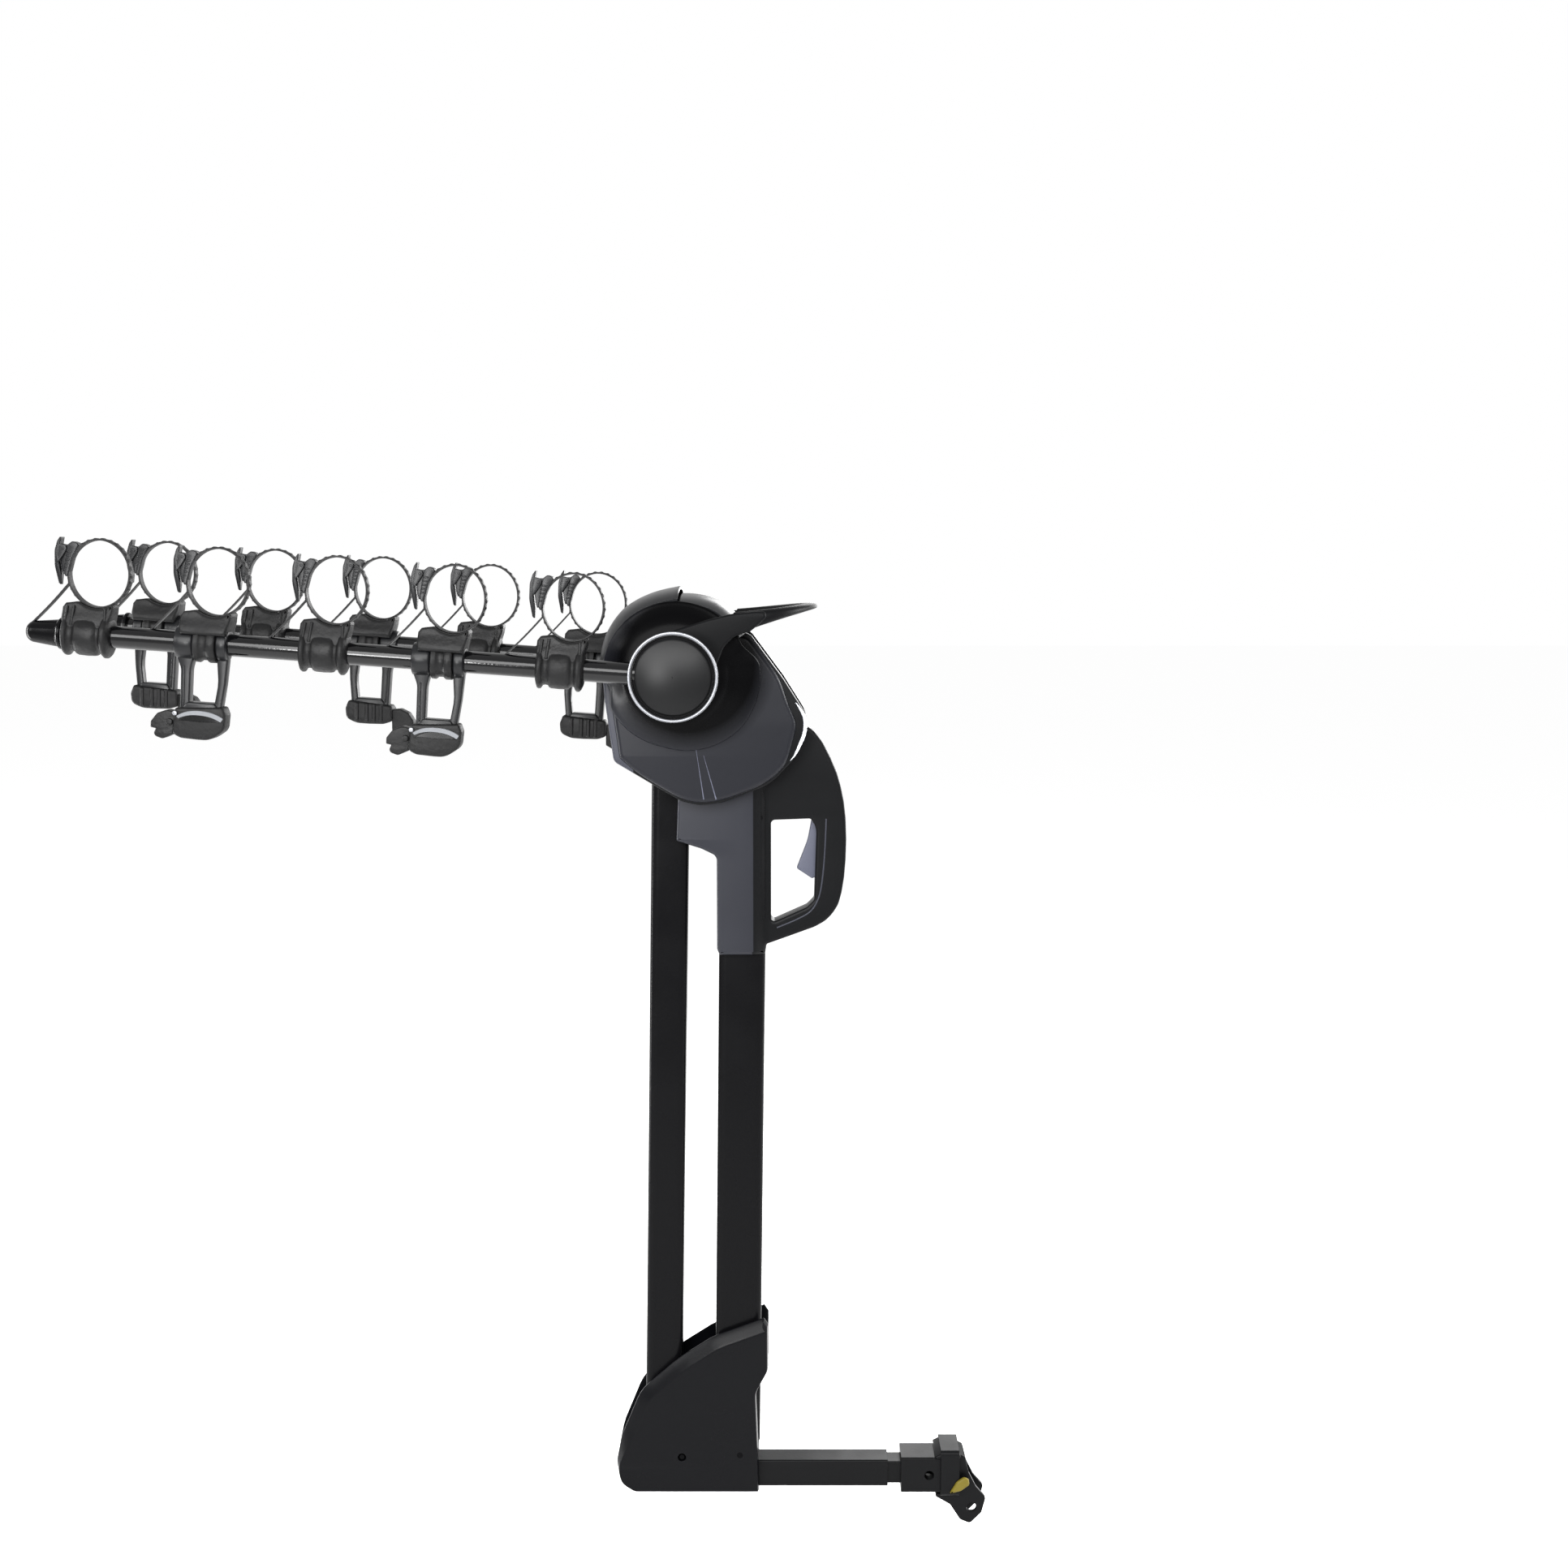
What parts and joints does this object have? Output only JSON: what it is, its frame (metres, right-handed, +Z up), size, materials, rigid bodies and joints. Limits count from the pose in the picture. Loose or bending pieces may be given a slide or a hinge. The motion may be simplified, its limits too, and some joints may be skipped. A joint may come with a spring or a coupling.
{
  "type": "hitch bike rack",
  "caption": "Hanging hitch rack for bicycles: square shank, mast of two parallel bars that glides away, folding twin arms with strapped cradles, and a moulded grip.",
  "frame": {"origin": "middle of the hitch pin hole, on the shank axis", "axes": "+X along the shank towards the vehicle, +Y along the hitch pin hole across the vehicle, +Z up"},
  "size_m": [1.2589, 0.31, 1.3792],
  "materials": {
    "shank_paint": "satin black paint",
    "yellow_plastic": "yellow moulded tab",
    "frame_paint": "satin black paint",
    "slate_plastic": "fine textured slate grey",
    "charcoal_plastic": "smooth charcoal",
    "pin_steel": "bright turned steel",
    "tube_paint": "gloss black paint",
    "lever_plastic": "slate grey lever",
    "gloss_black": "gloss black",
    "silver_trim": "thin satin silver ring",
    "cap_plastic": "dark satin dome",
    "cradle_rubber": "soft grey-black rubber",
    "strap_rubber": "ladder strap rubber",
    "buckle_plastic": "charcoal nylon"
  },
  "bodies": {
    "base": {"shank_tube": "shank_paint", "shank_insert": "shank_paint", "hitch_sleeve": "shank_paint", "sleeve_lip": "shank_paint", "tail_bracket": "shank_paint", "yellow_tab": "yellow_plastic", "base_frame": "frame_paint", "base_cover_near": "slate_plastic", "base_cover_far": "slate_plastic", "base_pins": "pin_steel"},
    "rear_link": {"rear_bar": "tube_paint", "rear_bar_foot": "frame_paint", "neck_plates": "frame_paint", "grip_housing_near": "slate_plastic", "grip_housing_far": "slate_plastic", "housing_screws": "pin_steel"},
    "latch": {"latch_rod": "pin_steel"},
    "trigger": {"release_trigger": "lever_plastic"},
    "front_link": {"front_bar": "tube_paint", "front_bar_foot": "frame_paint"},
    "head": {"head_frame": "frame_paint", "head_pins": "pin_steel", "side_drums": "charcoal_plastic", "front_shell": "charcoal_plastic", "rear_shell": "charcoal_plastic", "head_spine": "slate_plastic", "lower_cover_near": "slate_plastic", "lower_cover_far": "slate_plastic"},
    "fold_lever": {"fold_lever": "lever_plastic"},
    "arms": {"arm_axle": "pin_steel", "near_arm": "tube_paint", "far_arm": "tube_paint", "arm_tips": "gloss_black", "arm_knuckles": "gloss_black", "hub_rings": "silver_trim", "hub_caps": "cap_plastic", "cradles": "cradle_rubber", "near_straps": "strap_rubber", "far_straps": "strap_rubber", "buckles": "buckle_plastic"},
    "buckle_lever_near_1": {"buckle_lever_near_1": "buckle_plastic"},
    "buckle_lever_near_2": {"buckle_lever_near_2": "buckle_plastic"},
    "third_cradle_near_2": {"third_cradle_near_2": "buckle_plastic", "third_pad_near_2": "cradle_rubber"},
    "buckle_lever_near_3": {"buckle_lever_near_3": "buckle_plastic"},
    "buckle_lever_near_4": {"buckle_lever_near_4": "buckle_plastic"},
    "third_cradle_near_4": {"third_cradle_near_4": "buckle_plastic", "third_pad_near_4": "cradle_rubber"},
    "buckle_lever_near_5": {"buckle_lever_near_5": "buckle_plastic"},
    "buckle_lever_far_1": {"buckle_lever_far_1": "buckle_plastic"},
    "third_cradle_far_1": {"third_cradle_far_1": "buckle_plastic", "third_pad_far_1": "cradle_rubber"},
    "buckle_lever_far_2": {"buckle_lever_far_2": "buckle_plastic"},
    "buckle_lever_far_3": {"buckle_lever_far_3": "buckle_plastic"},
    "third_cradle_far_3": {"third_cradle_far_3": "buckle_plastic", "third_pad_far_3": "cradle_rubber"},
    "buckle_lever_far_4": {"buckle_lever_far_4": "buckle_plastic"},
    "buckle_lever_far_5": {"buckle_lever_far_5": "buckle_plastic"},
    "third_cradle_far_5": {"third_cradle_far_5": "buckle_plastic", "third_pad_far_5": "cradle_rubber"}
  },
  "joints": [
    {"name": "mast_glide", "type": "hinge", "parent": "base", "child": "rear_link", "pos_m": [-0.27, 0, 0.033], "axis": [0, -1, 0], "range_deg": [0, 42]},
    {"name": "front_link_swing", "type": "hinge", "parent": "base", "child": "front_link", "pos_m": [-0.374, 0, 0.033], "axis": [0, -1, 0], "range_deg": [0, 42]},
    {"name": "head_level", "type": "hinge", "parent": "rear_link", "child": "head", "pos_m": [-0.284, 0, 1.053], "axis": [0, -1, 0], "range_deg": [-59, 0]},
    {"name": "trigger_squeeze", "type": "hinge", "parent": "rear_link", "child": "trigger", "pos_m": [-0.156, 0, 0.924], "axis": [0, -1, 0], "range_deg": [0, 16], "stiffness_Nm_per_rad": 0.3, "springref_deg": -8.59},
    {"name": "latch_lift", "type": "slide", "parent": "rear_link", "child": "latch", "axis": [0.0119, 0, 0.9999], "range_m": [0, 0.0062]},
    {"name": "arms_fold", "type": "hinge", "parent": "head", "child": "arms", "pos_m": [-0.347, 0, 1.129], "axis": [0, -1, 0], "range_deg": [0, 85]},
    {"name": "lever_lift", "type": "hinge", "parent": "head", "child": "fold_lever", "pos_m": [-0.347, 0, 1.129], "axis": [0, -1, 0], "range_deg": [0, 20], "stiffness_Nm_per_rad": 1, "springref_deg": -22.92},
    {"name": "buckle_open_near_1", "type": "hinge", "parent": "arms", "child": "buckle_lever_near_1", "pos_m": [-0.51861, -0.127, 1.25049], "axis": [0, 1, 0], "range_deg": [0, 60], "stiffness_Nm_per_rad": 0.02, "springref_deg": -17.19},
    {"name": "buckle_open_near_2", "type": "hinge", "parent": "arms", "child": "buckle_lever_near_2", "pos_m": [-0.67023, -0.127, 1.26127], "axis": [0, 1, 0], "range_deg": [0, 60], "stiffness_Nm_per_rad": 0.02, "springref_deg": -17.19},
    {"name": "third_swivel_near_2", "type": "hinge", "parent": "arms", "child": "third_cradle_near_2", "pos_m": [-0.64425, -0.127, 1.15015], "axis": [-0.9975, 0, 0.071], "range_deg": [0, 90]},
    {"name": "buckle_open_near_3", "type": "hinge", "parent": "arms", "child": "buckle_lever_near_3", "pos_m": [-0.82184, -0.127, 1.27206], "axis": [0, 1, 0], "range_deg": [0, 60], "stiffness_Nm_per_rad": 0.02, "springref_deg": -17.19},
    {"name": "buckle_open_near_4", "type": "hinge", "parent": "arms", "child": "buckle_lever_near_4", "pos_m": [-0.97346, -0.127, 1.28285], "axis": [0, 1, 0], "range_deg": [0, 60], "stiffness_Nm_per_rad": 0.02, "springref_deg": -17.19},
    {"name": "third_swivel_near_4", "type": "hinge", "parent": "arms", "child": "third_cradle_near_4", "pos_m": [-0.94748, -0.127, 1.17173], "axis": [-0.9975, 0, 0.071], "range_deg": [0, 90]},
    {"name": "buckle_open_near_5", "type": "hinge", "parent": "arms", "child": "buckle_lever_near_5", "pos_m": [-1.12508, -0.127, 1.29364], "axis": [0, 1, 0], "range_deg": [0, 60], "stiffness_Nm_per_rad": 0.02, "springref_deg": -17.19},
    {"name": "buckle_open_far_1", "type": "hinge", "parent": "arms", "child": "buckle_lever_far_1", "pos_m": [-0.51063, 0.127, 1.24992], "axis": [0, 1, 0], "range_deg": [0, 60], "stiffness_Nm_per_rad": 0.02, "springref_deg": -17.19},
    {"name": "third_swivel_far_1", "type": "hinge", "parent": "arms", "child": "third_cradle_far_1", "pos_m": [-0.48465, 0.127, 1.1388], "axis": [0.9975, 0, -0.071], "range_deg": [0, 90]},
    {"name": "buckle_open_far_2", "type": "hinge", "parent": "arms", "child": "buckle_lever_far_2", "pos_m": [-0.66225, 0.127, 1.26071], "axis": [0, 1, 0], "range_deg": [0, 60], "stiffness_Nm_per_rad": 0.02, "springref_deg": -17.19},
    {"name": "buckle_open_far_3", "type": "hinge", "parent": "arms", "child": "buckle_lever_far_3", "pos_m": [-0.81386, 0.127, 1.2715], "axis": [0, 1, 0], "range_deg": [0, 60], "stiffness_Nm_per_rad": 0.02, "springref_deg": -17.19},
    {"name": "third_swivel_far_3", "type": "hinge", "parent": "arms", "child": "third_cradle_far_3", "pos_m": [-0.78788, 0.127, 1.16037], "axis": [0.9975, 0, -0.071], "range_deg": [0, 90]},
    {"name": "buckle_open_far_4", "type": "hinge", "parent": "arms", "child": "buckle_lever_far_4", "pos_m": [-0.96548, 0.127, 1.28228], "axis": [0, 1, 0], "range_deg": [0, 60], "stiffness_Nm_per_rad": 0.02, "springref_deg": -17.19},
    {"name": "buckle_open_far_5", "type": "hinge", "parent": "arms", "child": "buckle_lever_far_5", "pos_m": [-1.1171, 0.127, 1.29307], "axis": [0, 1, 0], "range_deg": [0, 60], "stiffness_Nm_per_rad": 0.02, "springref_deg": -17.19},
    {"name": "third_swivel_far_5", "type": "hinge", "parent": "arms", "child": "third_cradle_far_5", "pos_m": [-1.09112, 0.127, 1.18195], "axis": [0.9975, 0, -0.071], "range_deg": [0, 90]}
  ],
  "couplings": [
    {"joint": "front_link_swing", "follows": "mast_glide", "ratio": 0.9924},
    {"joint": "head_level", "follows": "mast_glide", "ratio": -1.3993},
    {"joint": "latch_lift", "follows": "trigger_squeeze", "m_per_rad": 0.0215}
  ]
}
